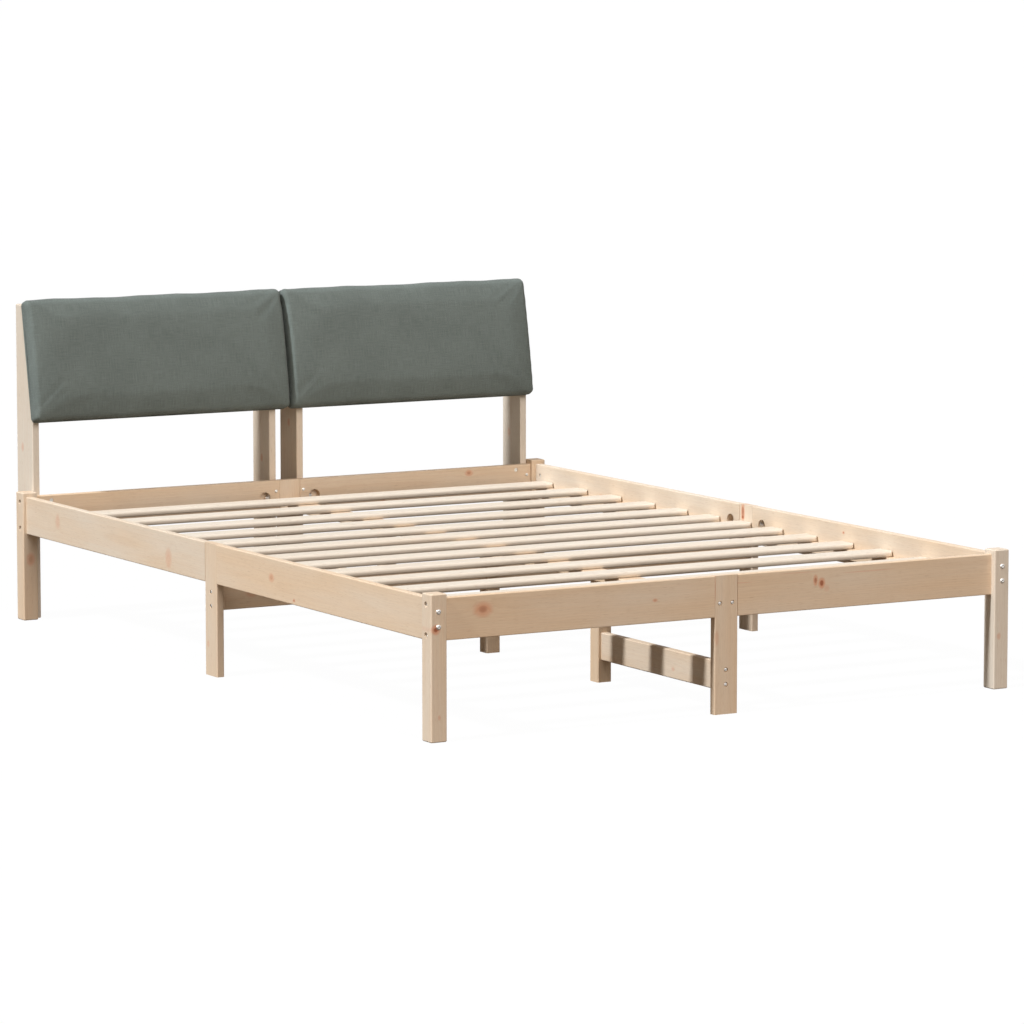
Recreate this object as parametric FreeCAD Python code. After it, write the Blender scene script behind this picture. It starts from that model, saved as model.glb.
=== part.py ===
import FreeCAD, Part
import math
import os

from FreeCAD import Matrix, Vector

# Double bed frame in planed pine, with a slatted base and two upholstered headboard pads.
# X runs across the bed, Y from the foot end to the head end and Z up from the floor.
# The origin lies on the floor, at the centre of the overall box. Lengths are in millimetres.

# Overall frame, over the outer faces of the corner legs
bed_width = 1455.0
bed_length = 2070.0

# Corner legs
leg_x = 38.0
leg_y = 40.0
leg_height = 310.0
leg_round = 3.0
leg_end_arris = 2.0

# Rails round the mattress well, each side and each end in two halves
rail_thick = 18.0
rail_height = 90.0
rail_top = 300.0
board_round = 2.5
side_recess = 9.0
end_recess = 13.0

# Middle legs, flush with the rails that they join
mid_leg_width = 58.0

# Centre line: square legs, a beam in two halves, a cross board and two low stretchers
centre_leg_size = 35.0
quarter_leg_inset = 535.0
beam_width = 57.0
beam_thick = 18.0
brace_height = 62.0
stretcher_bottom = 50.0
cross_board_bottom = 148.0
fork_clearance = 0.25
centre_arris = 2.0

# Slats and the ledgers that carry them
slat_count = 13
slat_width = 58.0
slat_thick = 14.0
slat_first_inset = 103.5
slat_growth_share = 0.0468
slat_bottom = 247.0
slat_end_gap = 1.0
slat_corner = 8.0
slat_nose = 6.3
ledger_thick = 20.0
ledger_height = 25.0
ledger_start = 72.0
ledger_pocket_gap = 10.0

# Headboard posts, upright boards with a slanted upper edge for the pads
post_depth = 90.0
post_inset = 1.5
post_top = 757.0
slope_start = 473.0
slope_angle = 10.5

# Upholstered pads: a backing board each, with a padded front
pad_length = 298.0
pad_thick = 35.0
pad_crown = 6.0
pad_overhang = 2.5
pad_between = 4.0
pad_corner = 13.0
pad_draw_in = 1.0
pad_clearance = 0.3
pad_board_thick = 9.0
pad_board_inset = 5.0
pad_board_corner = 8.0

# Corner bolts: round recesses in the legs for their heads, and round holes in the rails'
# inner faces for the barrel nuts that they screw into
head_recess_d = 12.8
head_recess_depth = 5.0
barrel_hole_d = 10.4
barrel_hole_depth = 15.0
end_rail_barrel_inset = 42.0
side_rail_barrel_inset = 21.0
across_bolt_spread = 64.0
along_bolt_spread = 32.0
along_bolt_rise = 2.0

# Middle joints: a rod through the leg, with a half-moon washer and a nut in a round pocket
pocket_offset = 69.0
pocket_d = 30.0
pocket_depth = 14.5
rod_d = 6.0
rod_bore = 6.6
rod_tip = 10.0
washer_clearance = 0.1
washer_thick = 3.0
washer_height = 10.0
nut_flats = 10.0
nut_height = 5.0
nut_bore = 6.2

# Recesses for the heads of the screws that hold the centre line to the middle legs
recess_d = 10.3
recess_depth = 2.8
recess_pair = 32.0
beam_recess_drop = 7.0
stretcher_recess_rise = 30.0
cross_recess_rise = 26.0

# Cutting and rounding
overrun = 5.0
parallel_share = 0.999

# Levels and places worked out from the sizes above
bed_middle = (end_recess - post_depth) / 2
rail_bottom = rail_top - rail_height
rail_mid = (rail_top + rail_bottom) / 2
joint_height = rail_mid + along_bolt_rise
side_inner = side_recess + rail_thick
end_inner = end_recess + rail_thick
side_mid = side_recess + rail_thick / 2
end_mid = end_recess + rail_thick / 2
beam_bottom = slat_bottom - beam_thick
mid_leg_half = mid_leg_width / 2

LEFT, RIGHT = -1, 1
FOOT, HEAD = -1, 1
SIDE_NAMES = {LEFT: "left", RIGHT: "right"}
END_NAMES = {FOOT: "foot", HEAD: "head"}
UP = Vector(0, 0, 1)

nodes = {}


def x_at(side, inset):
    """X at a distance in from the outer face of the corner legs on one side."""
    return side * (bed_width / 2 - inset)


def y_at(end, inset):
    """Y at a distance in from the outer face of the corner legs at one end."""
    return bed_middle + end * (bed_length / 2 - inset)


def block(x_pair, y_pair, z_pair):
    """A plain box between two places on each axis, given in either order."""
    low = Vector(min(x_pair), min(y_pair), min(z_pair))
    high = Vector(max(x_pair), max(y_pair), max(z_pair))
    size = high - low
    return Part.makeBox(size.x, size.y, size.z, low)


def edges_along(solid, axes):
    """The straight edges of a solid that run along any of the given axes."""
    def runs_along(edge):
        way = edge.tangentAt(edge.FirstParameter)
        return any(abs(way.dot(axis)) > parallel_share for axis in axes)
    return [edge for edge in solid.Edges if runs_along(edge)]


def eased(solid, radius, axes):
    """Round the edges that run along the given axes, as a moulding cutter does."""
    return solid.makeFillet(radius, edges_along(solid, axes))


def board(x_pair, y_pair, z_pair, grain):
    """A planed board whose long edges, along the grain, are lightly rounded."""
    return eased(block(x_pair, y_pair, z_pair), board_round, [grain])


def arrissed_board(x_pair, y_pair, z_pair, grain):
    """A board whose long edges, along the grain, have the corner taken off flat."""
    stock = block(x_pair, y_pair, z_pair)
    return stock.makeChamfer(centre_arris, edges_along(stock, [grain]))


def bore(start, way, diameter, depth):
    """The cutter for a round hole that starts at a face and goes in along a way."""
    way = Vector(way).normalize()
    return Part.makeCylinder(diameter / 2, depth + overrun, start - way * overrun, way)


def placed(shape, origin, x_way, y_way, z_way):
    """Move a shape from its own axes to an origin and three square ways."""
    matrix = Matrix(x_way.x, y_way.x, z_way.x, origin.x,
                    x_way.y, y_way.y, z_way.y, origin.y,
                    x_way.z, y_way.z, z_way.z, origin.z,
                    0, 0, 0, 1)
    moved = shape.copy()
    moved.Placement = FreeCAD.Placement(matrix).multiply(moved.Placement)
    return moved


def hexagon_prism(flats, height):
    """A hexagonal prism on the origin, across its flats, standing on Z."""
    corner = flats / math.sqrt(3)
    turns = [math.radians(60 * k) for k in range(7)]
    ring = [Vector(corner * math.cos(a), corner * math.sin(a), 0) for a in turns]
    return Part.Face(Part.makePolygon(ring)).extrude(UP * height)


def cut_all(solid, cutters):
    """Take a list of cutters out of a solid."""
    return solid.cut(cutters).Solids[0]


def keep(node, shape):
    """File a finished piece, or a list of loose pieces that share a node."""
    nodes[node] = Part.makeCompound(shape) if isinstance(shape, list) else shape


# Corner joints. At each corner two bolts run across the bed through the leg into the end
# rail, with their heads sunk, and two run along the bed into the side rail, with their heads
# proud. Each rail has a round hole for the barrel nut of each bolt.

head_recesses = {}
barrel_holes = {}
for side in (LEFT, RIGHT):
    for end in (FOOT, HEAD):
        inward_x = Vector(-side, 0, 0)
        inward_y = Vector(0, -end, 0)
        recesses = []
        end_holes = []
        side_holes = []
        for step in (-1, 1):
            height = rail_mid + step * across_bolt_spread / 2
            head = Vector(x_at(side, 0), y_at(end, end_mid), height)
            recesses.append(bore(head, inward_x, head_recess_d, head_recess_depth))
            mouth = Vector(x_at(side, leg_x + end_rail_barrel_inset), y_at(end, end_inner),
                           height)
            end_holes.append(bore(mouth, -inward_y, barrel_hole_d, barrel_hole_depth))
            height = joint_height + step * along_bolt_spread / 2
            mouth = Vector(x_at(side, side_inner), y_at(end, leg_y + side_rail_barrel_inset),
                           height)
            side_holes.append(bore(mouth, -inward_x, barrel_hole_d, barrel_hole_depth))
        head_recesses[side, end] = recesses
        barrel_holes["end", side, end] = end_holes
        barrel_holes["side", side, end] = side_holes

# Corner legs, square posts with every edge eased.

for side in (LEFT, RIGHT):
    for end in (FOOT, HEAD):
        leg = block((x_at(side, 0), x_at(side, leg_x)), (y_at(end, 0), y_at(end, leg_y)),
                    (0, leg_height))
        leg = eased(leg, leg_round, [UP])
        ends = [e for e in leg.Edges if e.BoundBox.ZLength < leg_round]
        leg = leg.makeChamfer(leg_end_arris, ends)
        name = "corner_leg_" + END_NAMES[end] + "_" + SIDE_NAMES[side]
        keep(name, cut_all(leg, head_recesses[side, end]))

# Middle joints. Halfway along each side and each end, a rod runs through the middle leg
# and into a round pocket in each rail half, where a half-moon washer and a nut draw the
# halves tight.

washer_radius = pocket_d / 2 - washer_clearance
washer_flat = washer_radius - washer_thick
washer_half_chord = math.sqrt(washer_radius ** 2 - washer_flat ** 2)
washer_arc = Part.Arc(Vector(washer_flat, -washer_half_chord, 0), Vector(washer_radius, 0, 0),
                      Vector(washer_flat, washer_half_chord, 0)).toShape()
washer_chord = Part.makeLine(Vector(washer_flat, washer_half_chord, 0),
                             Vector(washer_flat, -washer_half_chord, 0))
half_moon = Part.Face(Part.Wire([washer_arc, washer_chord])).extrude(UP * washer_height)
half_moon = half_moon.cut(bore(Vector(0, 0, washer_height / 2), Vector(1, 0, 0),
                               rod_bore, pocket_d))
rod_nut = hexagon_prism(nut_flats, nut_height).cut(
    bore(Vector(0, 0, 0), UP, nut_bore, nut_height + overrun))
rod_length = 2 * (pocket_offset - pocket_d / 2 + rod_tip)

mid_rods = []
mid_nuts = []
mid_washers = []
mid_cutters = {}


def middle_joint(key, centre, along, inner_way):
    """The rod, washers and nuts of one middle joint, and the cutters for them."""
    half_rod = along * (rod_length / 2)
    mid_rods.append(Part.makeCylinder(rod_d / 2, rod_length, centre - half_rod, along))
    cutters = [bore(centre - along * pocket_offset, along, rod_bore, 2 * pocket_offset)]
    for step in (-1, 1):
        pocket = centre + along * (step * pocket_offset)
        face = pocket + inner_way * (rail_thick / 2)
        cutters.append(bore(face, -inner_way, pocket_d, pocket_depth))
        to_leg = along * -step
        base = pocket - inner_way * (washer_height / 2)
        mid_washers.append(placed(half_moon, base, to_leg, inner_way.cross(to_leg), inner_way))
        nut_base = pocket + to_leg * (washer_flat - nut_height)
        mid_nuts.append(placed(rod_nut, nut_base, UP, to_leg.cross(UP), to_leg))
    mid_cutters[key] = cutters


for side in (LEFT, RIGHT):
    middle_joint(("side", side), Vector(x_at(side, side_mid), bed_middle, joint_height),
                 Vector(0, 1, 0), Vector(-side, 0, 0))
for end in (FOOT, HEAD):
    middle_joint(("end", end), Vector(0, y_at(end, end_mid), joint_height),
                 Vector(1, 0, 0), Vector(0, -end, 0))

keep("mid_joint_rods", mid_rods)
keep("mid_joint_nuts", mid_nuts)
keep("mid_joint_washers", mid_washers)

# Screw recesses in the outer faces of the middle legs, in pairs: one above the other at the
# cross board and at the stretchers, and side by side at the beam.


def recess_for(x, y, z, way):
    """The cutter for one round recess in a face."""
    return bore(Vector(x, y, z), way, recess_d, recess_depth)


beam_recess_height = slat_bottom - beam_recess_drop
for step in (-1, 1):
    for side in (LEFT, RIGHT):
        height = cross_board_bottom + cross_recess_rise + step * recess_pair / 2
        mid_cutters["side", side].append(
            recess_for(x_at(side, side_recess), bed_middle, height, Vector(-side, 0, 0)))
    for end in (FOOT, HEAD):
        face = y_at(end, end_recess)
        inward = Vector(0, -end, 0)
        height = stretcher_bottom + stretcher_recess_rise + step * recess_pair / 2
        mid_cutters["end", end].append(recess_for(0, face, height, inward))
        mid_cutters["end", end].append(recess_for(step * recess_pair / 2, face,
                                                  beam_recess_height, inward))

# Middle legs of the sides and the ends: flat boards on edge between the rail halves.

for side in (LEFT, RIGHT):
    leg = board((x_at(side, side_recess), x_at(side, side_inner)),
                (bed_middle - mid_leg_half, bed_middle + mid_leg_half), (0, rail_top), UP)
    keep("mid_leg_" + SIDE_NAMES[side], cut_all(leg, mid_cutters["side", side]))
for end in (FOOT, HEAD):
    leg = board((-mid_leg_half, mid_leg_half), (y_at(end, end_recess), y_at(end, end_inner)),
                (0, rail_top), UP)
    keep("mid_leg_" + END_NAMES[end], cut_all(leg, mid_cutters["end", end]))

# Headboard posts stand on the floor behind the head rail, the outer two beside the corner
# legs and the inner two beside the middle leg. Above the slope's start the front edge leans
# back, and carries the pads.

lean = math.radians(slope_angle)
post_front = y_at(HEAD, end_recess)
post_back = post_front + post_depth
slope_foot = Vector(0, post_front, slope_start)
slope_way = Vector(0, math.sin(lean), math.cos(lean))
pad_way = Vector(0, -math.cos(lean), math.sin(lean))
post_top_front = post_front + (post_top - slope_start) * math.tan(lean)
post_profile = [Vector(0, post_front, 0), Vector(0, post_back, 0), Vector(0, post_back, post_top),
                Vector(0, post_top_front, post_top), slope_foot, Vector(0, post_front, 0)]
post_places = {
    "headboard_post_left_outer": x_at(LEFT, leg_x + post_inset),
    "headboard_post_left_inner": -mid_leg_half - rail_thick,
    "headboard_post_right_inner": mid_leg_half,
    "headboard_post_right_outer": x_at(RIGHT, leg_x + post_inset) - rail_thick,
}
for name, low_x in post_places.items():
    profile = Part.Face(Part.makePolygon([p + Vector(low_x, 0, 0) for p in post_profile]))
    post = profile.extrude(Vector(rail_thick, 0, 0))
    outer = [e for e in post.Edges if e.BoundBox.XLength < board_round]
    keep(name, post.makeFillet(board_round, outer))

# Side rails: a foot half and a head half on each side, from corner leg to middle leg.

for side in (LEFT, RIGHT):
    for end in (FOOT, HEAD):
        rail = board((x_at(side, side_recess), x_at(side, side_inner)),
                     (y_at(end, leg_y), bed_middle + end * mid_leg_half),
                     (rail_bottom, rail_top), Vector(0, 1, 0))
        cutters = barrel_holes["side", side, end] + mid_cutters["side", side]
        keep("side_rail_" + SIDE_NAMES[side] + "_" + END_NAMES[end], cut_all(rail, cutters))

# End rails: the foot rail and the head rail, each in a left and a right half.

for end in (FOOT, HEAD):
    for side in (LEFT, RIGHT):
        rail = board((x_at(side, leg_x), side * mid_leg_half),
                     (y_at(end, end_recess), y_at(end, end_inner)),
                     (rail_bottom, rail_top), Vector(1, 0, 0))
        cutters = barrel_holes["end", side, end] + mid_cutters["end", end]
        keep(END_NAMES[end] + "_rail_" + SIDE_NAMES[side], cut_all(rail, cutters))

# Ledgers run inside the side rails under the slat ends, and stop short of the corner nuts
# and of the joint pockets. A short block on each middle leg carries the middle slat.

ledger_end = pocket_offset + pocket_d / 2 + ledger_pocket_gap
ledger_blocks = []
for side in (LEFT, RIGHT):
    x_pair = (x_at(side, side_inner), x_at(side, side_inner + ledger_thick))
    z_pair = (slat_bottom - ledger_height, slat_bottom)
    for end in (FOOT, HEAD):
        y_pair = (y_at(end, ledger_start), bed_middle + end * ledger_end)
        keep("ledger_" + SIDE_NAMES[side] + "_" + END_NAMES[end],
             arrissed_board(x_pair, y_pair, z_pair, Vector(0, 1, 0)))
    y_pair = (bed_middle - mid_leg_half, bed_middle + mid_leg_half)
    ledger_blocks.append(arrissed_board(x_pair, y_pair, z_pair, Vector(0, 1, 0)))
keep("ledger_blocks", ledger_blocks)

# Centre line: two beam halves that meet over the centre leg, a square leg under each
# quarter, and low stretchers from the end legs to the quarter legs.

quarter_leg_near = quarter_leg_inset - centre_leg_size / 2
for end in (FOOT, HEAD):
    keep("centre_beam_" + END_NAMES[end],
         arrissed_board((-beam_width / 2, beam_width / 2), (y_at(end, end_inner), bed_middle),
                        (beam_bottom, slat_bottom), Vector(0, 1, 0)))
    keep("stretcher_" + END_NAMES[end],
         arrissed_board((-rail_thick / 2, rail_thick / 2),
                        (y_at(end, end_inner), y_at(end, quarter_leg_near)),
                        (stretcher_bottom, stretcher_bottom + brace_height), Vector(0, 1, 0)))


def square_leg(middle_y):
    """A square centre-line leg that stands under the beam."""
    half = centre_leg_size / 2
    return arrissed_board((-half, half), (middle_y - half, middle_y + half),
                          (0, beam_bottom), UP)


for end in (FOOT, HEAD):
    keep("quarter_leg_" + END_NAMES[end], square_leg(y_at(end, quarter_leg_inset)))

# The centre leg is forked: the cross board drops into its slot, and the beam closes it.

slot_half = rail_thick / 2 + fork_clearance
slot = block((-centre_leg_size, centre_leg_size), (bed_middle - slot_half, bed_middle + slot_half),
             (cross_board_bottom, beam_bottom + overrun))
keep("centre_leg", cut_all(square_leg(bed_middle), [slot]))
keep("cross_board",
     arrissed_board((x_at(LEFT, side_inner), x_at(RIGHT, side_inner)),
                    (bed_middle - rail_thick / 2, bed_middle + rail_thick / 2),
                    (cross_board_bottom, cross_board_bottom + brace_height), Vector(1, 0, 0)))

# Slats: flat boards with bullnosed long edges and rounded corners, laid across the ledgers
# and the beam. Each step away from the middle of the bed is a little longer than the last.

slat_half = bed_width / 2 - side_inner - slat_end_gap
most_steps = (slat_count - 1) / 2
middle_pitch = ((bed_length / 2 - slat_first_inset)
                / (most_steps * (1 + slat_growth_share * (most_steps - 1) / 2)))
for number in range(slat_count):
    steps = number - most_steps
    reach = abs(steps) * (1 + slat_growth_share * (abs(steps) - 1) / 2) * middle_pitch
    middle = bed_middle + math.copysign(reach, steps)
    stock = block((-slat_half, slat_half), (middle - slat_width / 2, middle + slat_width / 2),
                  (slat_bottom, slat_bottom + slat_thick))
    nosed = eased(stock, slat_nose, [Vector(1, 0, 0)])
    keep("slat_%02d" % (number + 1), nosed.common(eased(stock, slat_corner, [UP])).Solids[0])

# Pads. Each backing board lies on the slanted edges of two posts and reaches a little past the
# outer one. The padding in front of it swells in the middle, is rounded all round and draws in
# a little between its corners.

pad_width = bed_width / 2 - leg_x + pad_overhang - pad_between / 2
pad_middle = pad_between / 2 + pad_width / 2
PAD_DEPTH_SHARES = (0.0, 0.25, 0.66, 0.90, 1.0)
PAD_INSET_SHARES = (0.16, 0.0, 0.08, 0.44, 0.90)
crown_inset_share = 0.20


def outline(width, height, depth):
    """A closed outline in the pad's own plane, with round corners and hollow sides."""
    half_w = width / 2
    half_h = height / 2
    bend = pad_corner * (1 - math.sqrt(0.5))
    corners = []
    for turn_x, turn_y in ((1, 1), (-1, 1), (-1, -1), (1, -1)):
        on_side = Vector(turn_x * half_w, turn_y * (half_h - pad_corner), depth)
        on_end = Vector(turn_x * (half_w - pad_corner), turn_y * half_h, depth)
        bulge = Vector(turn_x * (half_w - bend), turn_y * (half_h - bend), depth)
        first, last = (on_side, on_end) if turn_x == turn_y else (on_end, on_side)
        corners.append((first, bulge, last))
    edges = []
    for number, (first, bulge, last) in enumerate(corners):
        follow = corners[(number + 1) % len(corners)][0]
        middle = (last + follow) / 2
        inward = Vector(-middle.x, -middle.y, 0).normalize()
        edges.append(Part.Arc(first, bulge, last).toShape())
        edges.append(Part.Arc(last, middle + inward * pad_draw_in, follow).toShape())
    return Part.Wire(edges)


def padding():
    """The padded front of one pad, from its back face at Z zero to its crown."""
    sections = []
    for depth_share, inset_share in zip(PAD_DEPTH_SHARES, PAD_INSET_SHARES):
        inset = inset_share * pad_thick / 2
        sections.append(outline(pad_width - 2 * inset, pad_length - 2 * inset,
                                depth_share * pad_thick))
    inset = crown_inset_share * pad_length
    sections.append(outline(pad_width - 2 * inset, pad_length - 2 * inset,
                            pad_thick + pad_crown))
    return Part.makeLoft(sections, True, True)


board_half_w = pad_width / 2 - pad_board_inset
board_half_h = pad_length / 2 - pad_board_inset
pad_board = eased(block((-board_half_w, board_half_w), (-board_half_h, board_half_h),
                        (0, pad_board_thick)), pad_board_corner, [UP])
pad_form = padding()
for side in (LEFT, RIGHT):
    centre = slope_foot + slope_way * (pad_length / 2) + Vector(side * pad_middle, 0, 0)
    across = Vector(1, 0, 0)
    keep("pad_board_" + SIDE_NAMES[side], placed(pad_board, centre, across, slope_way, pad_way))
    front = centre + pad_way * (pad_board_thick + pad_clearance)
    keep("pad_" + SIDE_NAMES[side], placed(pad_form, front, across, slope_way, pad_way))

os.makedirs("parts", exist_ok=True)
for node, shape in nodes.items():
    shape.exportStep("parts/" + node + ".step")
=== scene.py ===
import math
import random

import bmesh
import bpy
from mathutils import Matrix, Vector
from mathutils.bvhtree import BVHTree


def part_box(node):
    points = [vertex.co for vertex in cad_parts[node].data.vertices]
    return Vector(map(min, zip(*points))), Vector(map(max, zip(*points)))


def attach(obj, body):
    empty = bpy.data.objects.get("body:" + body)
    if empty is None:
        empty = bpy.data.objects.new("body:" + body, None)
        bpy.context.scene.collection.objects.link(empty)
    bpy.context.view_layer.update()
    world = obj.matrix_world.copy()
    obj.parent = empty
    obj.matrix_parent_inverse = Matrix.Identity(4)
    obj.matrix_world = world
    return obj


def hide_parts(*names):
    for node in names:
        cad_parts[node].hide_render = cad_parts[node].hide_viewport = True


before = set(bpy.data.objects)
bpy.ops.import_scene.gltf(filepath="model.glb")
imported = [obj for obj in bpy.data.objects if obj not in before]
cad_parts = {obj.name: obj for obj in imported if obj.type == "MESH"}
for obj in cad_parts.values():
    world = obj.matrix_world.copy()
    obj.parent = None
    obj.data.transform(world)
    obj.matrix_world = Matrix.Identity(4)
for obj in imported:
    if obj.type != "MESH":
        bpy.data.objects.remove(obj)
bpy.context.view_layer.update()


# Corner legs: four square legs of planed pine, their edges rounded, which take both rails.
# Each is sawn from its own log, so its growth rings, fibres and knots run through the solid,
# from face to face and out at the end grain.
X, Y, Z = 0, 1, 2
RING_STOPS = ((0.0, 0.0), (0.45, 0.12), (0.78, 0.7), (0.9, 1.0), (0.97, 0.3), (1.0, 0.0))
PALE_PINE = (0.735, 0.66, 0.56, 1)
TAN_PINE = (0.735, 0.54, 0.36, 1)
LATE_WOOD = (0.60, 0.37, 0.20, 1)
KNOT_WOOD = (0.30, 0.085, 0.035, 1)
KNOT_STAIN = (0.66, 0.29, 0.16, 1)
FLECK_WOOD = (0.42, 0.24, 0.12, 1)
RING_WIDTH = (0.0032, 0.0048)
RING_WANDER = 3.4
RINGS_PUSHED_BY_KNOT = 2.0
HEART_ASIDE = 0.03
HEART_BEHIND = (0.04, 0.075)
FIBRE_FINENESS = 850.0
FLECK_FINENESS = 1500.0


class Tap:
    """A node's output. Sums on it add Math nodes to its tree."""

    def __init__(self, nodes, socket):
        self.nodes = nodes
        self.socket = socket

    def __add__(self, other):
        return self.nodes.maths("ADD", self, other)

    def __sub__(self, other):
        return self.nodes.maths("SUBTRACT", self, other)

    def __rsub__(self, other):
        return self.nodes.maths("SUBTRACT", other, self)

    def __mul__(self, other):
        return self.nodes.maths("MULTIPLY", self, other)

    def __truediv__(self, other):
        return self.nodes.maths("DIVIDE", self, other)

    def __rtruediv__(self, other):
        return self.nodes.maths("DIVIDE", other, self)

    def __pow__(self, other):
        return self.nodes.maths("POWER", self, other)

    def __abs__(self):
        return self.nodes.maths("ABSOLUTE", self)

    __radd__ = __add__
    __rmul__ = __mul__


class Nodes:
    """A node tree and its shader. Its other nodes all come from node()."""

    def __init__(self, tree, shader):
        self.tree = tree
        self.shader = tree.nodes[shader]

    def set(self, **values):
        for name, value in values.items():
            self.feed(self.shader.inputs[name.replace("_", " ")], value)

    def feed(self, socket, value):
        if isinstance(value, Tap):
            self.tree.links.new(value.socket, socket)
        else:
            socket.default_value = value

    def node(self, kind, settings, sockets, out=0):
        made = self.tree.nodes.new(kind)
        for name, value in settings.items():
            if name == "stops":
                marks = made.color_ramp.elements
                while len(marks) < len(value):
                    marks.new(0.5)
                for mark, (place, level) in zip(marks, value):
                    mark.position = place
                    mark.color = (level, level, level, 1)
            else:
                setattr(made, name, value)
        for name, value in sockets.items():
            self.feed(made.inputs[name], value)
        return Tap(self, made.outputs[out])

    def maths(self, operation, *values):
        return self.node("ShaderNodeMath", {"operation": operation}, dict(enumerate(values)))

    def place(self):
        return self.node("ShaderNodeTexCoord", {}, {}, "Object")

    def facing(self, axis):
        return self.parts(self.node("ShaderNodeTexCoord", {}, {}, "Normal"))[axis]

    def parts(self, vector):
        whole = self.node("ShaderNodeSeparateXYZ", {}, {0: vector})
        outputs = whole.socket.node.outputs
        return [Tap(self, outputs[k]) for k in range(3)]

    def joined(self, x, y, z):
        return self.node("ShaderNodeCombineXYZ", {}, {0: x, 1: y, 2: z})

    def noise(self, vector, scale=1.0, detail=2.0):
        sockets = {"Vector": vector, "Scale": scale, "Detail": detail}
        return self.node("ShaderNodeTexNoise", {"noise_dimensions": "3D"}, sockets, "Fac")

    def ease(self, value, low, high, to_low=0.0, to_high=1.0):
        settings = {"interpolation_type": "SMOOTHSTEP", "clamp": True}
        return self.node("ShaderNodeMapRange", settings,
                         {0: value, 1: low, 2: high, 3: to_low, 4: to_high})

    def mix(self, share, first, second, mode="MIX"):
        settings = {"data_type": "RGBA", "blend_type": mode}
        return self.node("ShaderNodeMix", settings, {0: share, 6: first, 7: second}, 2)

    def shaded(self, colour, level):
        return self.mix(1.0, colour, self.joined(level, level, level), "MULTIPLY")

    def bump(self, height, strength, distance):
        sockets = {"Height": height, "Strength": strength, "Distance": distance}
        return self.node("ShaderNodeBump", {}, sockets)

    def rings(self, turns):
        """How much late wood shows, where turns counts the growth rings from the heart."""
        return self.node("ShaderNodeValToRGB", {"stops": RING_STOPS}, {0: self.maths("FRACT", turns)})


class Finish(Nodes):
    """A material."""

    def __init__(self, name, **constants):
        self.material = bpy.data.materials.new(name)
        self.material.use_nodes = True
        super().__init__(self.material.node_tree, "Principled BSDF")
        self.set(**constants)

    def onto(self, node):
        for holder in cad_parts[node].material_slots:
            holder.material = self.material


log_draws = random.Random(7)


def pine(node, grain, face, tone, figure, knots=(), end=0.2):
    """Pine for one board. grain and face are the axes of its length and its broad face, tone
    goes from pale to tan, figure is how strongly its growth rings show, a knot is (place along,
    place across, radius, stretch, darkness), and end is how much darker the end grain is."""
    low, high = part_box(node)
    middle = (low + high) / 2
    depth = 3 - grain - face
    heart_across = middle[face] + log_draws.uniform(-HEART_ASIDE, HEART_ASIDE)
    heart_depth = middle[depth] + log_draws.choice((-1, 1)) * log_draws.uniform(*HEART_BEHIND)
    ring_width = log_draws.uniform(*RING_WIDTH)

    wood = Finish("pine_" + node)
    axes = wood.parts(wood.place())
    along, across, deep = axes[grain], axes[face], axes[depth]

    wander = wood.noise(wood.joined(along * 1.7, across * 7.0, deep * 7.0), 1.0, 1.5)
    patch = wood.noise(wood.joined(along * 2.6, across * 14.0, deep * 14.0), 1.0, 2.0)
    fibre_place = wood.joined(along * 16.0, across * FIBRE_FINENESS, deep * FIBRE_FINENESS)
    fleck_place = wood.joined(along * 55.0, across * FLECK_FINENESS, deep * FLECK_FINENESS)
    fibre = wood.noise(fibre_place, 1.0, 2.0)
    fleck = wood.noise(fleck_place, 1.0, 0.0)

    stain = None
    core = None
    flow = wander * RING_WANDER
    for place_along, place_across, radius, stretch, darkness in knots:
        one = (along - place_along) / (radius * stretch)
        two = (across - place_across) / radius
        spread = one * one + two * two + (patch - 0.5) * 0.6
        halo = 1.0 / (1.0 + abs(spread) * 0.45) ** 2.0
        around = wood.ease(spread, 2.4, 0.1, 0.0, darkness)
        inside = wood.ease(spread, 0.55, 0.1, 0.0, max(0.0, darkness * 1.8 - 0.9))
        flow = flow + halo * RINGS_PUSHED_BY_KNOT
        stain = around if stain is None else wood.maths("MAXIMUM", stain, around)
        core = inside if core is None else wood.maths("MAXIMUM", core, inside)

    from_heart = ((across - heart_across) ** 2.0 + (deep - heart_depth) ** 2.0) ** 0.5
    late = wood.rings(from_heart / ring_width + flow + fibre * 0.25)
    shown = late * wood.ease(patch, 0.3, 0.75, figure * 0.45, figure)

    colour = wood.mix(wood.ease(patch * 0.5 + (tone - 0.25), 0.15, 0.85), PALE_PINE, TAN_PINE)
    colour = wood.mix(shown, colour, LATE_WOOD)
    colour = wood.mix(wood.ease(fleck, 0.66, 0.78, 0.0, 0.3), colour, FLECK_WOOD)
    colour = wood.shaded(colour, wood.ease(fibre, 0.25, 0.75, 0.955, 1.03))
    if knots:
        colour = wood.mix(stain * (0.8 + late * 0.2), colour, KNOT_STAIN)
        colour = wood.mix(core, colour, KNOT_WOOD)
    at_end = wood.ease(abs(wood.facing(grain)), 0.75, 0.95, 0.0, end)
    colour = wood.mix(at_end, colour, LATE_WOOD)

    wood.set(Base_Color=colour, Roughness=0.47 + fibre * 0.1, Specular_IOR_Level=0.35,
             Normal=wood.bump(fibre * 0.6 + late * 0.5, 0.14, 0.0004))
    wood.onto(node)


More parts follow.
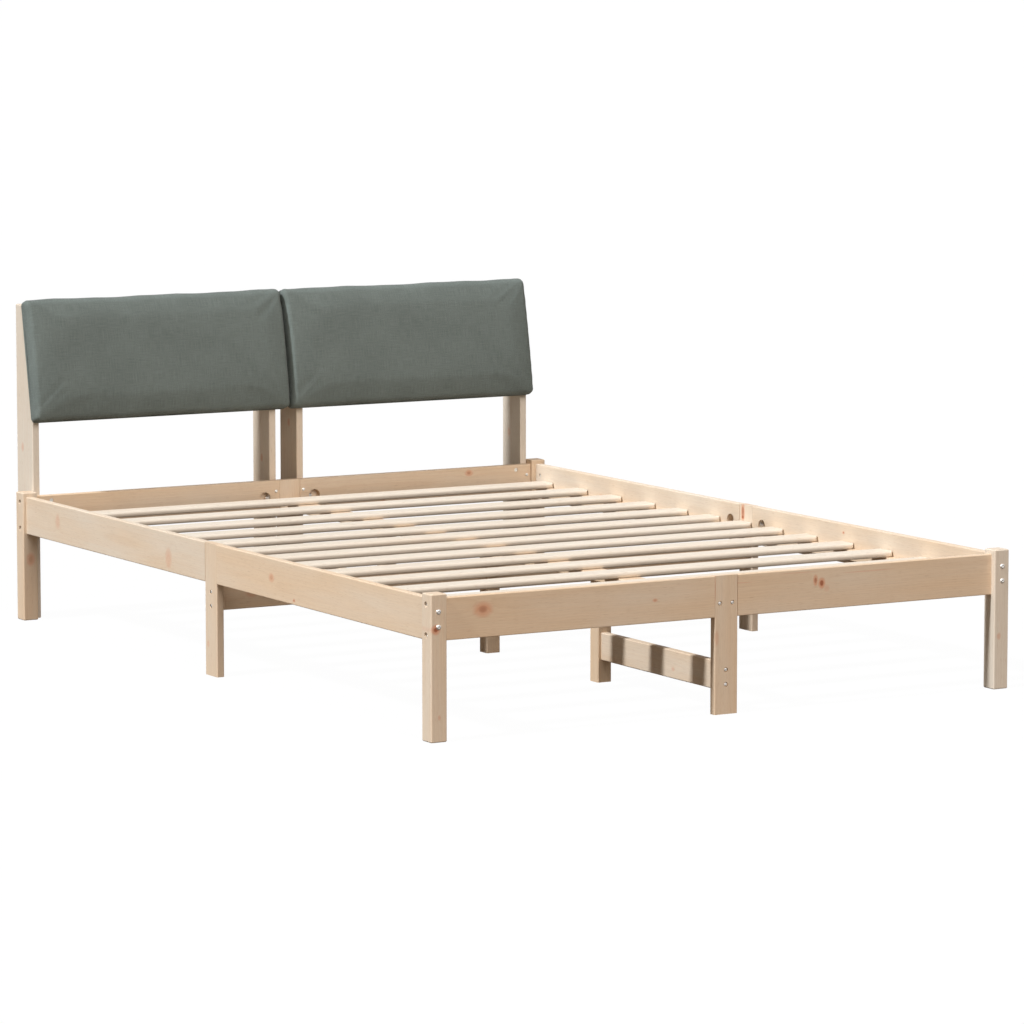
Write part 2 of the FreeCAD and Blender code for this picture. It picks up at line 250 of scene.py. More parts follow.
pine("corner_leg_foot_left", Z, X, 0.5, 0.15,
     [(0.2360, -0.7160, 0.0088, 1.0, 1.0), (0.052, -0.708, 0.0032, 1.4, 0.5)])
pine("corner_leg_foot_right", Z, X, 0.3, 0.15, [(0.118, 0.702, 0.0044, 1.5, 0.5)])
pine("corner_leg_head_left", Z, X, 0.55, 0.15, [(0.148, -0.7085, 0.0090, 1.5, 0.62)])
pine("corner_leg_head_right", Z, Y, 0.6, 0.2, [(0.17, 0.972, 0.0054, 1.4, 0.6)])


# Corner bolts: zinc-plated steel, two each way in every corner. Those along the bed have domed
# heads on the legs' end faces, those across it are sunk in the sides, and all of them screw into
# barrel nuts that lie in round holes in the rails' inner faces.
LEG_FACE_X = 0.7275
LEG_FACE_Y = (-1.0735, 0.9965)
END_RAIL_INNER_Y = (-1.0425, 0.9655)
SIDE_RAIL_INNER_X = 0.7005
END_BOLT_X, END_BOLT_HEIGHTS = 0.7095, (0.273, 0.241)
SIDE_BOLT_Y, SIDE_BOLT_HEIGHTS = (-1.0515, 0.9745), (0.287, 0.223)
END_BARREL_X = 0.6475
SIDE_BARREL_Y = (-1.0125, 0.9355)
DOME_RADIUS, DOME_HEIGHT = 0.0057, 0.0023
SUNK_RADIUS, SUNK_HEIGHT, SUNK_FLOOR = 0.0061, 0.0014, 0.0049
DOME_SOCKET, SUNK_SOCKET = 0.0023, 0.0026
BARREL_RADIUS, BARREL_LENGTH, BARREL_FLOOR = 0.0050, 0.0136, 0.0149
SLOT_HALF, SLOT_DEPTH = 0.0024, 0.0014
TURNED_STEPS = 24
DARK_ZINC = (0.62, 0.61, 0.59, 1)
PALE_ZINC = (0.86, 0.85, 0.83, 1)

zinc = Finish("zinc_plated_steel", Metallic=1.0)
zinc_spot = zinc.noise(zinc.place(), 420.0, 3.0)
zinc_cloud = zinc.noise(zinc.place(), 90.0, 2.0)
zinc.set(Base_Color=zinc.mix(zinc_cloud, DARK_ZINC, PALE_ZINC),
         Roughness=0.3 + zinc_spot * 0.2, Normal=zinc.bump(zinc_spot, 0.08, 0.0002))


def turned(profile, socket=0.0):
    """A turned part from (radius, height) points that begin and end on its axis. What lies
    nearer to the axis than the socket's corners becomes six-sided."""
    shape = bmesh.new()
    points = [shape.verts.new((radius, 0, height)) for radius, height in profile]
    edges = [shape.edges.new(pair) for pair in zip(points, points[1:])]
    bmesh.ops.spin(shape, geom=points + edges, cent=(0, 0, 0), axis=(0, 0, 1),
                   angle=math.tau, steps=TURNED_STEPS, use_merge=True)
    bmesh.ops.remove_doubles(shape, verts=shape.verts, dist=0.000005)
    for point in shape.verts:
        reach = math.hypot(point.co.x, point.co.y)
        if 0.00001 < reach < socket * 1.01:
            turn = math.degrees(math.atan2(point.co.y, point.co.x)) % 60 - 30
            point.co.xy *= math.cos(math.radians(30)) / math.cos(math.radians(turn))
    bmesh.ops.recalc_face_normals(shape, faces=shape.faces)
    mesh = bpy.data.meshes.new("turned")
    shape.to_mesh(mesh)
    shape.free()
    return mesh


def fitted(name, mesh, spots):
    """One piece of zinc-plated steel from a small part set at each (point, facing, turn)."""
    whole = bmesh.new()
    for point, facing, turn in spots:
        copy = mesh.copy()
        aim = Vector(facing).to_track_quat("Z", "Y").to_matrix().to_4x4()
        copy.transform(Matrix.Translation(point) @ aim @ Matrix.Rotation(turn, 4, "Z"))
        whole.from_mesh(copy)
        bpy.data.meshes.remove(copy)
    made = bpy.data.meshes.new(name)
    whole.to_mesh(made)
    whole.free()
    made.shade_smooth()
    made.set_sharp_from_angle(angle=math.radians(35))
    made.materials.append(zinc.material)
    piece = bpy.data.objects.new(name, made)
    bpy.context.scene.collection.objects.link(piece)
    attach(piece, "root")


turn_draws = random.Random(21)


def any_turn():
    return turn_draws.uniform(0, math.tau)


dome_head = turned([(0, 0), (DOME_RADIUS, 0), (DOME_RADIUS, 0.0005), (0.0053, 0.0013),
                    (0.0044, 0.0020), (0.0033, DOME_HEIGHT), (DOME_SOCKET, DOME_HEIGHT),
                    (DOME_SOCKET, 0.0006), (0, 0.0003)], DOME_SOCKET)
fitted("domed_corner_bolts", dome_head,
       [((side * END_BOLT_X, face, z), (0, way, 0), any_turn())
        for face, way in zip(LEG_FACE_Y, (-1, 1)) for side in (-1, 1) for z in END_BOLT_HEIGHTS])

sunk_head = turned([(0, 0), (SUNK_RADIUS, 0), (SUNK_RADIUS, 0.0011), (0.0056, SUNK_HEIGHT),
                    (0.0028, SUNK_HEIGHT), (SUNK_SOCKET, SUNK_HEIGHT),
                    (SUNK_SOCKET, 0.0002), (0, 0.0001)], SUNK_SOCKET)
fitted("sunk_corner_bolts", sunk_head,
       [((side * (LEG_FACE_X - SUNK_FLOOR), y, z), (side, 0, 0), any_turn())
        for side in (-1, 1) for y in SIDE_BOLT_Y for z in SIDE_BOLT_HEIGHTS])

barrel_end = turned([(0, 0), (BARREL_RADIUS, 0), (BARREL_RADIUS, BARREL_LENGTH - 0.0005),
                     (0.0047, BARREL_LENGTH), (SLOT_HALF, BARREL_LENGTH),
                     (SLOT_HALF, BARREL_LENGTH - SLOT_DEPTH), (0, BARREL_LENGTH - SLOT_DEPTH)])
fitted("barrel_nuts", barrel_end,
       [((side * END_BARREL_X, face - way * BARREL_FLOOR, z), (0, way, 0), any_turn())
        for face, way in zip(END_RAIL_INNER_Y, (1, -1))
        for side in (-1, 1) for z in SIDE_BOLT_HEIGHTS]
       + [((side * (SIDE_RAIL_INNER_X + BARREL_FLOOR), y, z), (-side, 0, 0), any_turn())
          for side in (-1, 1) for y in SIDE_BARREL_Y for z in END_BOLT_HEIGHTS])


# Rails: planed pine boards with rounded edges round the mattress well, each side and each end in
# two lengths that meet on a middle leg.
pine("foot_rail_left", X, Z, 0.62, 0.2,
     [(-0.5969, 0.2693, 0.0140, 1.4, 0.78), (-0.1783, 0.2584, 0.0034, 1.6, 0.62)])
pine("foot_rail_right", X, Z, 0.62, 0.18,
     [(0.2429, 0.2663, 0.0098, 0.75, 0.95), (0.2270, 0.2735, 0.0100, 0.5, 0.8),
      (0.2560, 0.2540, 0.0060, 0.9, 0.3), (0.018, 0.281, 0.0012, 38.0, 0.42),
      (0.184, 0.293, 0.0011, 34.0, 0.34), (0.365, 0.285, 0.0012, 44.0, 0.4)])
pine("head_rail_left", X, Z, 0.64, 0.2, [(-0.371, 0.241, 0.0046, 1.5, 0.6)])
pine("head_rail_right", X, Z, 0.56, 0.22,
     [(0.5099, 0.2868, 0.0070, 1.4, 0.7), (0.262, 0.232, 0.0038, 1.6, 0.55)])
pine("side_rail_left_foot", Y, Z, 0.62, 0.16,
     [(-0.3362, 0.2574, 0.0084, 1.3, 0.6), (-0.4430, 0.2200, 0.0034, 1.4, 0.8)])
pine("side_rail_left_head", Y, Z, 0.46, 0.14,
     [(0.7767, 0.2592, 0.0150, 0.7, 0.36), (0.1765, 0.2407, 0.0190, 0.7, 0.42)])
pine("side_rail_right_foot", Y, Z, 0.5, 0.1, [(-0.4566, 0.2800, 0.0030, 1.4, 0.8)])
pine("side_rail_right_head", Y, Z, 0.45, 0.1, [(0.6330, 0.2510, 0.0050, 1.5, 0.4)])


# Middle legs: flat pine legs, flush with the rails that they join. The rods, nuts and half-moon
# washers of those joints sit in round pockets in the rails, and screws hold the cross board and
# the stretchers from outside.
pine("mid_leg_left", Z, Y, 0.62, 0.15, [(0.071, -0.024, 0.0044, 1.5, 0.4)])
pine("mid_leg_right", Z, Y, 0.5, 0.2,
     [(0.2834, -0.0251, 0.0066, 2.8, 0.85), (0.2700, -0.0251, 0.0056, 1.2, 1.0)])
pine("mid_leg_foot", Z, X, 0.6, 0.2,
     [(0.166, -0.0235, 0.0040, 3.6, 0.4), (0.272, -0.0292, 0.0016, 22.0, 0.9)])
pine("mid_leg_head", Z, X, 0.6, 0.2, [(0.12, 0.010, 0.0054, 1.5, 0.6)])
for hardware in ("mid_joint_rods", "mid_joint_nuts", "mid_joint_washers"):
    zinc.onto(hardware)

RAIL_OUTER_X = 0.7185
RAIL_OUTER_Y = (-1.0605, 0.9835)
SCREW_RADIUS, SCREW_HEIGHT, SCREW_FLOOR = 0.0040, 0.0022, 0.0027
SCREW_SOCKET = 0.0018
CROSS_SCREW_Y, CROSS_SCREW_HEIGHTS = -0.0385, (0.190, 0.158)
END_LEG_SCREWS = ((0, 0.096), (0, 0.064), (-0.016, 0.240), (0.016, 0.240))

screw_head = turned([(0, 0), (SCREW_RADIUS, 0), (SCREW_RADIUS, 0.0008), (0.0037, 0.0015),
                     (0.0031, 0.0020), (0.0025, SCREW_HEIGHT), (SCREW_SOCKET, SCREW_HEIGHT),
                     (SCREW_SOCKET, 0.0006), (0, 0.0003)], SCREW_SOCKET)
fitted("side_leg_screws", screw_head,
       [((side * (RAIL_OUTER_X - SCREW_FLOOR), CROSS_SCREW_Y, z), (side, 0, 0), any_turn())
        for side in (-1, 1) for z in CROSS_SCREW_HEIGHTS])
fitted("end_leg_screws", screw_head,
       [((x, face - way * SCREW_FLOOR, z), (0, way, 0), any_turn())
        for face, way in zip(RAIL_OUTER_Y, (-1, 1)) for x, z in END_LEG_SCREWS])


# Slats and what they lie on: thirteen thin pine slats with bullnosed edges, two ledgers on the
# rails of each side with a block at the middle leg, and a beam in two lengths down the centre.
for number in range(1, 14):
    pine(f"slat_{number:02d}", X, Y, 0.1 + 0.06 * (number % 3), 0.12, end=0.04)
for side in ("left", "right"):
    for end in ("foot", "head"):
        pine(f"ledger_{side}_{end}", Y, Z, 0.6, 0.24)
pine("ledger_blocks", Y, Z, 0.6, 0.24)
for end in ("foot", "head"):
    pine(f"centre_beam_{end}", Y, X, 0.6, 0.24)


# Centre legs, cross board and stretchers: sawn and planed pine under the slats, with plain
# chamfered edges.
pine("centre_leg", Z, X, 0.66, 0.2)
pine("quarter_leg_foot", Z, X, 0.68, 0.2)
pine("quarter_leg_head", Z, X, 0.6, 0.2)
pine("cross_board", X, Z, 0.64, 0.26,
     [(-0.62, 0.183, 0.0090, 1.6, 0.5), (-0.42, 0.183, 0.0060, 1.5, 0.6),
      (0.31, 0.169, 0.0040, 1.5, 0.6)])
pine("stretcher_foot", Y, Z, 0.5, 0.2, [(-0.86, 0.071, 0.0038, 1.4, 0.45)])
pine("stretcher_head", Y, Z, 0.5, 0.2)


# Headboard posts: four pine boards on edge behind the head rail, their upper front edges cut to
# the slope of the pads. Domed screws through the head rail hold them.
POST_MIDDLES = (-0.679, -0.038, 0.038, 0.679)

for side, outer_knot, inner_knot in (("left", 0.412, 0.352), ("right", 0.377, 0.436)):
    pine(f"headboard_post_{side}_outer", Z, Y, 0.24, 0.16,
         [(outer_knot, 1.041, 0.0062, 1.5, 0.45)])
    pine(f"headboard_post_{side}_inner", Z, Y, 0.42, 0.2,
         [(inner_knot, 1.026, 0.0056, 1.5, 0.55)])
fitted("post_screws", screw_head,
       [((x, END_RAIL_INNER_Y[1], z), (0, -1, 0), any_turn())
        for x in POST_MIDDLES for z in END_BOLT_HEIGHTS])


# Backing boards: plain plywood, one behind each pad, glued up from thin plies that show at the
# edges.
SLOPE_FOOT = Vector((0, 0.9835, 0.473))
SLOPE_TURN = math.radians(10.5)
SLOPE_UP = Vector((0, math.sin(SLOPE_TURN), math.cos(SLOPE_TURN)))
SLOPE_OUT = Vector((0, -math.cos(SLOPE_TURN), math.sin(SLOPE_TURN)))
PLY_THICK = 0.0018
PALE_PLY = (0.68, 0.55, 0.38, 1)
TAN_PLY = (0.60, 0.46, 0.30, 1)
LATE_PLY = (0.42, 0.27, 0.15, 1)
DARK_PLY = (0.36, 0.23, 0.13, 1)


def plywood(node):
    """Plywood for one board: a broad figure on its faces, light and dark plies at its edges."""
    ply = Finish("plywood_" + node)
    on_slope = ply.node("ShaderNodeMapping", {"vector_type": "TEXTURE"},
                        {"Vector": ply.place(), "Location": SLOPE_FOOT,
                         "Rotation": (-SLOPE_TURN, 0, 0)})
    x, out, up = ply.parts(on_slope)
    wander = ply.noise(ply.joined(x * 1.4, up * 5.0, out), 1.0, 1.0)
    fibre = ply.noise(ply.joined(x * 18.0, up * 700.0, out * 700.0), 1.0, 2.0)
    late = ply.rings(up * 38.0 + wander * 9.0 + fibre * 0.3)
    colour = ply.mix(wander, PALE_PLY, TAN_PLY)
    colour = ply.mix(late * 0.22, colour, LATE_PLY)
    layer = ply.maths("FRACT", out / PLY_THICK * 0.5)
    dark_layer = ply.ease(abs(layer - 0.5), 0.2, 0.3)
    at_edge = ply.ease(abs(ply.facing(Y)), 0.8, 0.5)
    colour = ply.mix(at_edge * dark_layer * 0.6, colour, DARK_PLY)
    colour = ply.shaded(colour, ply.ease(fibre, 0.25, 0.75, 0.93, 1.03))
    ply.set(Base_Color=colour, Roughness=0.6 + fibre * 0.12, Specular_IOR_Level=0.3,
            Normal=ply.bump(fibre + late * 0.3, 0.25, 0.0004))
    ply.onto(node)


plywood("pad_board_left")
plywood("pad_board_right")


# Pads: a slab of foam on each backing board under one piece of linen-like cloth in dark grey
# green, drawn over the foam's edges and held at the board. The foam is flattest in its middle,
# falls most to its long edges, and stays nearly full at the seam between the two pads.
PAD_HALF_WIDTH = 0.345
PAD_LENGTH = 0.298
HALF_GAP = 0.002
BACK_LEVEL, FRONT_LEVEL = 0.0093, 0.0503
HELD_BELOW = BACK_LEVEL + 0.004
VOXEL = 0.006
SIDE_STEP = 0.010
LONG_CROWN = 0.0045
LONG_DROP, LONG_REACH = 0.0115, 0.026
END_DROP, END_REACH = 0.0060, 0.018
SEAM_DROP, SEAM_REACH = 0.0020, 0.008
TO_SEAM, TO_END, TO_TOP = 0.0009, 0.0030, 0.0026
EDGE_WAVE, LONG_WAVES, SHORT_WAVES = 0.0009, 23, 57
WRAP_ACROSS = (0.6, 0.97)
WRAP_UP = (0.25, 0.48)
SHRINK = 0.0005
PRESSURE = 3.0
FILLING_FRAMES = 20
SHARE_KEPT = 0.2
MOST_MOVED = 0.003
MOST_TO_NEIGHBOUR = 0.0006
THREAD = 0.00125
DARK_LINEN = (0.140, 0.167, 0.153, 1)
PALE_LINEN = (0.191, 0.223, 0.210, 1)
# The colour of the painted shade in the hollows between the threads.
SHADE_BETWEEN_THREADS = (0.070, 0.085, 0.077, 1)

linen = Finish("grey_green_linen", Sheen_Weight=0.12, Sheen_Roughness=0.45,
               Specular_IOR_Level=0.2)
cloth_place = linen.node("ShaderNodeAttribute", {"attribute_name": "cloth_way"}, {}, "Vector")
thread_u, thread_v, _ = linen.parts(cloth_place)
wave_u = linen.maths("SINE", thread_u * (math.pi / THREAD))
wave_v = linen.maths("SINE", thread_v * (math.pi / THREAD))
over = linen.ease(wave_u * wave_v, -0.12, 0.12)
slub_u = linen.noise(linen.joined(thread_u * 700.0, thread_v * 28.0, 3.0), 1.0, 1.0)
slub_v = linen.noise(linen.joined(thread_u * 28.0, thread_v * 700.0, 8.0), 1.0, 1.0)
raised = (abs(wave_u) * (0.55 + slub_u * 0.9) * over
          + abs(wave_v) * (0.55 + slub_v * 0.9) * (1.0 - over))
slubs = slub_u * over + slub_v * (1.0 - over)
linen_colour = linen.mix(linen.ease(slubs, 0.3, 0.7), DARK_LINEN, PALE_LINEN)
# Painted shade: where the weave lies lowest, between the threads, the colour is darkened toward the
# shade colour, the lower the darker.
linen_colour = linen.mix(linen.ease(raised, 0.15, 0.75, 0.55, 0.0), linen_colour, SHADE_BETWEEN_THREADS)
cloud = linen.noise(linen.joined(thread_u * 9.0, thread_v * 9.0, 5.0), 1.0, 3.0)
linen.set(Base_Color=linen.shaded(linen_colour, linen.ease(cloud, 0.3, 0.7, 0.95, 1.05)),
          Roughness=0.86 + slubs * 0.1, Normal=linen.bump(raised, 0.35, 0.0004))


def pad_frame(side):
    """A pad's own frame: across and up from its middle, and out from the board's back."""
    middle = SLOPE_FOOT + SLOPE_UP * (PAD_LENGTH / 2)
    middle.x = side * (PAD_HALF_WIDTH + HALF_GAP)
    return Matrix.Translation(middle) @ Matrix.Rotation(math.pi / 2 - SLOPE_TURN, 4, "X")


def final_mesh(piece):
    """The piece's mesh with its modifiers applied, as a new mesh."""
    evaluated = piece.evaluated_get(bpy.context.evaluated_depsgraph_get())
    return bpy.data.meshes.new_from_object(evaluated)


def smooth_share(value, low, high):
    share = max(0.0, min(1.0, (value - low) / (high - low)))
    return share * share * (3 - 2 * share)


def thread_place(across, up, level):
    """How far along the threads a point of the cloth is, counted on round the foam's edges."""
    fall = FRONT_LEVEL - level
    wrap_across = smooth_share(abs(across) / PAD_HALF_WIDTH, *WRAP_ACROSS)
    wrap_up = smooth_share(abs(up) / PAD_LENGTH, *WRAP_UP)
    return (across + math.copysign(fall * wrap_across, across),
            up + math.copysign(fall * wrap_up, up), 0)


def front_over(slab, across, up):
    """The plain slab's front, read a step in from its sides."""
    most_across = PAD_HALF_WIDTH - SIDE_STEP
    most_up = PAD_LENGTH / 2 - SIDE_STEP
    inner_across = max(-most_across, min(most_across, across))
    inner_up = max(-most_up, min(most_up, up))
    return slab.ray_cast(Vector((inner_across, inner_up, 0.2)), Vector((0, 0, -1)))[0].z


def softened(across, up, level, front, to_neighbour):
    """Where a point of the plain slab lies on the soft pad."""
    near_seam = math.exp(-max(0, PAD_HALF_WIDTH - across * to_neighbour) / SEAM_REACH)
    near_end = math.exp(-max(0, PAD_HALF_WIDTH + across * to_neighbour) / END_REACH)
    near_long = math.exp(-max(0, PAD_LENGTH / 2 - abs(up)) / LONG_REACH)
    near_top = math.exp((up - PAD_LENGTH / 2) / LONG_REACH)
    drop = (LONG_CROWN * (2 * up / PAD_LENGTH) ** 2
            + math.hypot(LONG_DROP * near_long, END_DROP * near_end + SEAM_DROP * near_seam))
    wave = EDGE_WAVE * (math.sin(across * LONG_WAVES + to_neighbour)
                        + 0.6 * math.sin(across * SHORT_WAVES + 4))
    through = (level - BACK_LEVEL) / (front - BACK_LEVEL)
    return (across + to_neighbour * (TO_SEAM * near_seam - TO_END * near_end),
            up + wave * near_long + TO_TOP * near_top,
            BACK_LEVEL + through * (FRONT_LEVEL - drop - BACK_LEVEL))


def fill(pad, to_neighbour):
    """Fills the cloth by simulation and keeps a share of how far that moves it."""
    rest = [point.co.copy() for point in pad.data.vertices]
    for point in pad.data.vertices:
        if point.co.z >= HELD_BELOW:
            point.co -= point.normal * SHRINK
    cloth = pad.modifiers.new("filling", "CLOTH")
    cloth.settings.quality = 6
    cloth.settings.mass = 0.3
    cloth.settings.use_pressure = True
    cloth.settings.uniform_pressure_force = PRESSURE
    cloth.settings.tension_stiffness = 18
    cloth.settings.compression_stiffness = 12
    cloth.settings.bending_stiffness = 0.6
    cloth.settings.vertex_group_mass = "held"
    cloth.settings.effector_weights.gravity = 0
    cloth.collision_settings.use_collision = False
    cloth.point_cache.frame_start = 1
    cloth.point_cache.frame_end = FILLING_FRAMES
    for number in range(1, FILLING_FRAMES + 1):
        bpy.context.scene.frame_set(number)
    filled = final_mesh(pad)
    for point, before in zip(pad.data.vertices, rest):
        move = (filled.vertices[point.index].co - before) * SHARE_KEPT
        if move.length > MOST_MOVED:
            move.length = MOST_MOVED
        if move.x * to_neighbour > MOST_TO_NEIGHBOUR:
            move.x = MOST_TO_NEIGHBOUR * to_neighbour
        point.co = before + move
    bpy.data.meshes.remove(filled)
    pad.modifiers.clear()
    bpy.context.scene.frame_set(1)


def cushion(node, side):
    """One pad: the plain slab with an even mesh, softened, filled and dressed in linen."""
    slab = bmesh.new()
    slab.from_mesh(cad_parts[node].data)
    bmesh.ops.remove_doubles(slab, verts=slab.verts, dist=0.00001)
    start = bpy.data.meshes.new("linen_" + node)
    slab.to_mesh(start)
    slab.free()
    pad = bpy.data.objects.new("linen_" + node, start)
    bpy.context.scene.collection.objects.link(pad)
    remesh = pad.modifiers.new("even", "REMESH")
    remesh.mode = "VOXEL"
    remesh.voxel_size = VOXEL
    pad.data = final_mesh(pad)
    pad.modifiers.clear()

    pad.data.transform(pad_frame(side).inverted())
    plain = BVHTree.FromObject(pad, bpy.context.evaluated_depsgraph_get())
    held = pad.vertex_groups.new(name="held")
    cloth_way = []
    for point in pad.data.vertices:
        across, up, level = point.co
        cloth_way += thread_place(across, up, level)
        held.add([point.index], 1.0 if level < HELD_BELOW else 0.0, "REPLACE")
        point.co = softened(across, up, level, front_over(plain, across, up), -side)
    ways = pad.data.attributes.new("cloth_way", "FLOAT_VECTOR", "POINT")
    ways.data.foreach_set("vector", cloth_way)
    fill(pad, -side)

    finer = pad.modifiers.new("finer", "SUBSURF")
    finer.levels = finer.render_levels = 1
    pad.data = final_mesh(pad)
    pad.modifiers.clear()
    pad.vertex_groups.clear()
    pad.data.transform(pad_frame(side))
    pad.data.shade_smooth()
    pad.data.materials.clear()
    pad.data.materials.append(linen.material)
    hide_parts(node)
    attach(pad, "root")


cushion("pad_left", -1)
cushion("pad_right", 1)


# The cloth's edge: it goes over the boards' edges and is stapled to their backs, clear of the
# posts, which lie against the bare wood.
EDGE_INSET = 0.0012
EDGE_CORNER, CORNER_STEPS = 0.012, 9
EDGE_PROFILE = ((0.0035, 0.0002), (0.0012, 0.0003), (0.0003, 0.0010),
                (0, 0.0024), (0, 0.0102), (0.0035, 0.0102))
HEM_INSET = EDGE_INSET + 0.0012
HEM_WIDE, HEM_THICK = 0.022, 0.0006
HEM_PROFILE = ((0, 0), (0.0004, -HEM_THICK), (HEM_WIDE - 0.0003, -HEM_THICK), (HEM_WIDE, 0))
HEM_STEP = 0.012
RAW_WAVE, RAW_RIPPLE = 0.0009, 0.0006
LONG_HEM_OUTER, LONG_HEM_INNER = 0.3215, 0.2985
SIDE_HEM_HALF = 0.120
STAPLE_SIZE = (0.0102, 0.0009, 0.0007)
STAPLE_LEVEL = -HEM_THICK - 0.0003
LONG_STAPLES, LONG_STAPLE_INSET = 15, 0.0140
SIDE_STAPLES, SIDE_STAPLE_INSET, SIDE_STAPLE_PITCH = 6, 0.0135, 0.042


def drawn(shape, section, run, steps):
    """Draws a section along a straight run and returns where it ends."""
    step = Vector(run) / steps
    return bmesh.ops.spin(shape, geom=section, cent=(0, 0, 0), axis=(0, 0, 1), dvec=step,
                          angle=0, steps=steps)["geom_last"]


def cloth_piece(name, shape, side, way):
    """A piece of the cloth from a shape in its pad's own frame. way gives its threads' places."""
    bmesh.ops.recalc_face_normals(shape, faces=shape.faces)
    made = bpy.data.meshes.new(name)
    shape.to_mesh(made)
    shape.free()
    cloth_way = []
    for point in made.vertices:
        cloth_way += way(*point.co)
    made.attributes.new("cloth_way", "FLOAT_VECTOR", "POINT").data.foreach_set("vector", cloth_way)
    made.transform(pad_frame(side))
    made.shade_smooth()
    made.set_sharp_from_angle(angle=math.radians(50))
    made.materials.append(linen.material)
    piece = bpy.data.objects.new(name, made)
    bpy.context.scene.collection.objects.link(piece)
    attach(piece, "root")


def pad_edge(name, side):
    """The cloth round a board's edge: its section, drawn along each side and turned at each
    corner until it meets itself."""
    mid_x = PAD_HALF_WIDTH - EDGE_INSET - EDGE_CORNER
    mid_up = PAD_LENGTH / 2 - EDGE_INSET - EDGE_CORNER

    def way(across, up, level):
        out = Vector((across - max(-mid_x, min(mid_x, across)), up - max(-mid_up, min(mid_up, up))))
        out.normalize()
        return across + out.x * level, up + out.y * level, 0

    edge = bmesh.new()
    points = [edge.verts.new((mid_x + EDGE_CORNER - inset, mid_up, level))
              for inset, level in EDGE_PROFILE]
    section = points + [edge.edges.new((points[k - 1], points[k])) for k in range(len(points))]
    for right, top, run in ((1, 1, (-2 * mid_x, 0, 0)), (-1, 1, (0, -2 * mid_up, 0)),
                            (-1, -1, (2 * mid_x, 0, 0)), (1, -1, (0, 2 * mid_up, 0))):
        corner = bmesh.ops.spin(edge, geom=section, cent=(right * mid_x, top * mid_up, 0),
                                axis=(0, 0, 1), angle=math.pi / 2, steps=CORNER_STEPS)
        section = drawn(edge, corner["geom_last"], run, 1)
    bmesh.ops.remove_doubles(edge, verts=edge.verts, dist=0.00001)
    cloth_piece(name, edge, side, way)


def hem(name, side, where, start, end):
    """A strip with a raw inner edge on the board's back: where is top, bottom or side."""
    strip = bmesh.new()
    strip.faces.new([strip.verts.new((start, inset, level)) for inset, level in HEM_PROFILE])
    drawn(strip, strip.verts[:] + strip.edges[:] + strip.faces[:], (end - start, 0, 0),
          round(abs(end - start) / HEM_STEP))
    for point in strip.verts:
        along, inset, level = point.co
        if inset > HEM_WIDE / 2:
            inset += RAW_WAVE * math.sin(along * 90 + side) + RAW_RIPPLE * math.sin(along * 260)
        if where == "side":
            point.co = (-side * (PAD_HALF_WIDTH - HEM_INSET - inset), along, level)
        else:
            up = PAD_LENGTH / 2 - HEM_INSET - inset
            point.co = (along, up if where == "top" else -up, level)
    cloth_piece(name, strip, side, lambda across, up, level: (across, up, 0))


staple = bmesh.new()
bmesh.ops.create_cube(staple, size=1.0)
bmesh.ops.scale(staple, verts=staple.verts, vec=STAPLE_SIZE)
bmesh.ops.bevel(staple, geom=staple.edges[:], offset=0.0002, segments=2, profile=0.5,
                affect="EDGES", material=-1)
staple_mesh = bpy.data.meshes.new("staple")
staple.to_mesh(staple_mesh)
staple.free()
staple_draws = random.Random(5)


def drift(most):
    return staple_draws.uniform(-most, most)


for side_name, side in (("left", -1), ("right", 1)):
    pad_edge("pad_edge_" + side_name, side)
    outer = side * LONG_HEM_OUTER
    inner = -side * LONG_HEM_INNER
    hem("pad_hem_top_" + side_name, side, "top", inner, outer)
    hem("pad_hem_bottom_" + side_name, side, "bottom", inner, outer)
    hem("pad_hem_side_" + side_name, side, "side", -SIDE_HEM_HALF, SIDE_HEM_HALF)
    onto_board = pad_frame(side)
    spots = []
    for upright in (-1, 1):
        for k in range(LONG_STAPLES):
            across = inner + (outer - inner) * (k + 0.5 + drift(0.1)) / LONG_STAPLES
            up = upright * (PAD_LENGTH / 2 - LONG_STAPLE_INSET + drift(0.0015))
            spots.append((onto_board @ Vector((across, up, STAPLE_LEVEL)), -SLOPE_OUT, drift(0.12)))
    for k in range(SIDE_STAPLES):
        across = -side * (PAD_HALF_WIDTH - SIDE_STAPLE_INSET)
        up = (k - (SIDE_STAPLES - 1) / 2) * SIDE_STAPLE_PITCH + drift(0.003)
        spots.append((onto_board @ Vector((across, up, STAPLE_LEVEL)), -SLOPE_OUT,
                      math.pi / 2 + drift(0.12)))
    fitted("pad_staples_" + side_name, staple_mesh, spots)


# The studio: a plain white floor that fades into a white surround, a sun from the upper left
# whose light falls between the slats, a soft low lamp before the foot end, and a faint sky.
WHITE = (1, 1, 1, 1)
SKY_LEVEL = 0.19
SKY_TINT = (1.0, 0.86, 0.72, 1)
LAMPS = (("key", (-0.685, -0.03, 0.727), 3.6, 5, (0.97, 1.0, 1.03)),
         ("fill", (-0.05, -0.86, 0.51), 1.56, 30, (1.04, 0.99, 0.96)))
FLOOR_REACH = 160.0
FLOOR_BELOW = 0.0002
FLOOR_SEEN = 0.98
FLOOR_BOUNCE = (0.17, 0.135, 0.105, 1)

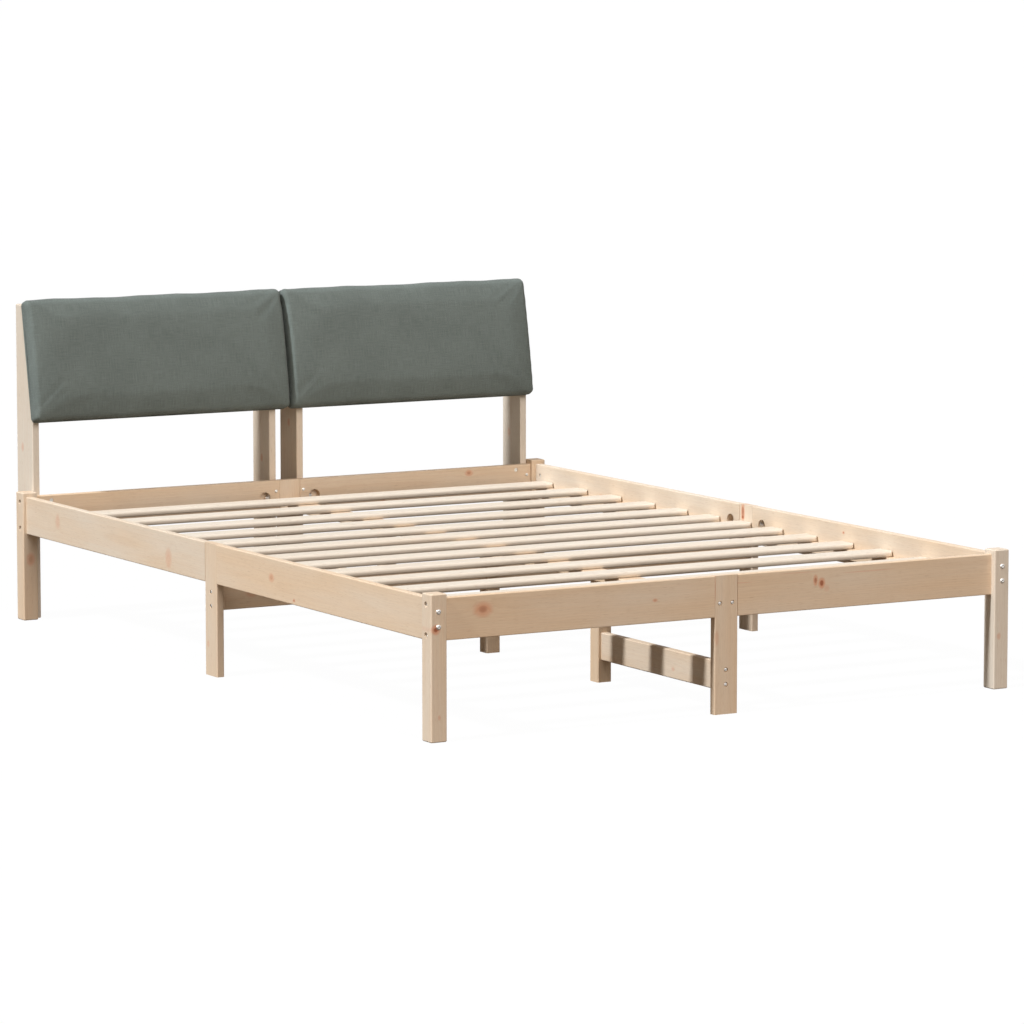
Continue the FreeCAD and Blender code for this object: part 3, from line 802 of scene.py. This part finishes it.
scene = bpy.context.scene
scene.view_settings.view_transform = "Standard"
scene.world = bpy.data.worlds.new("studio")
scene.world.use_nodes = True
sky = Nodes(scene.world.node_tree, "Background")
seen = sky.node("ShaderNodeLightPath", {}, {}, "Is Camera Ray")
rays = seen.socket.node.outputs
for other in ("Is Glossy Ray", "Is Transmission Ray"):
    seen = sky.maths("MAXIMUM", seen, Tap(sky, rays[other]))
sky.set(Color=sky.mix(seen, SKY_TINT, WHITE),
        Strength=sky.node("ShaderNodeMapRange", {}, {"Value": seen, "To Min": SKY_LEVEL}))

ground = bmesh.new()
bmesh.ops.create_grid(ground, x_segments=1, y_segments=1, size=FLOOR_REACH)
bmesh.ops.translate(ground, verts=ground.verts, vec=(0, 0, -FLOOR_BELOW))
floor_mesh = bpy.data.meshes.new("studio_floor")
ground.to_mesh(floor_mesh)
ground.free()
floor = bpy.data.objects.new("studio_floor", floor_mesh)
scene.collection.objects.link(floor)
paint = Finish("white_floor", Roughness=0.9, Specular_IOR_Level=0.0)
ray = paint.node("ShaderNodeLightPath", {}, {}, "Is Camera Ray")
paint.set(Base_Color=paint.mix(ray, FLOOR_BOUNCE, WHITE))
glow = paint.node("ShaderNodeEmission", {}, {"Color": WHITE, "Strength": 1.0})
lit = Tap(paint, paint.shader.outputs[0])
both = paint.node("ShaderNodeMixShader", {}, {0: ray * FLOOR_SEEN, 1: lit, 2: glow})
paint.feed(paint.tree.nodes["Material Output"].inputs["Surface"], both)
floor_mesh.materials.append(paint.material)

for lamp_name, lamp_from, level, width, tint in LAMPS:
    light = bpy.data.lights.new(lamp_name, "SUN")
    light.energy = level
    light.angle = math.radians(width)
    light.color = tint
    lamp = bpy.data.objects.new(lamp_name, light)
    lamp.rotation_mode = "QUATERNION"
    lamp.rotation_quaternion = Vector(lamp_from).to_track_quat("Z", "Y")
    scene.collection.objects.link(lamp)


# The camera: a long lens from beyond the left corner of the foot end, a little above the pads
# and looking slightly down.
CAMERA_AT = (-5.66945, -10.01669, 1.74364)
VIEW_YAW = 0.52117
VIEW_PITCH = 0.12288
LENS = 176.182

lens = bpy.data.cameras.new("camera")
lens.lens = LENS
lens.sensor_width = 36.0
lens.clip_end = 400.0
camera = bpy.data.objects.new("camera", lens)
camera.location = CAMERA_AT
camera.rotation_euler = (math.pi / 2 - VIEW_PITCH, 0, -VIEW_YAW)
scene.collection.objects.link(camera)
scene.camera = camera
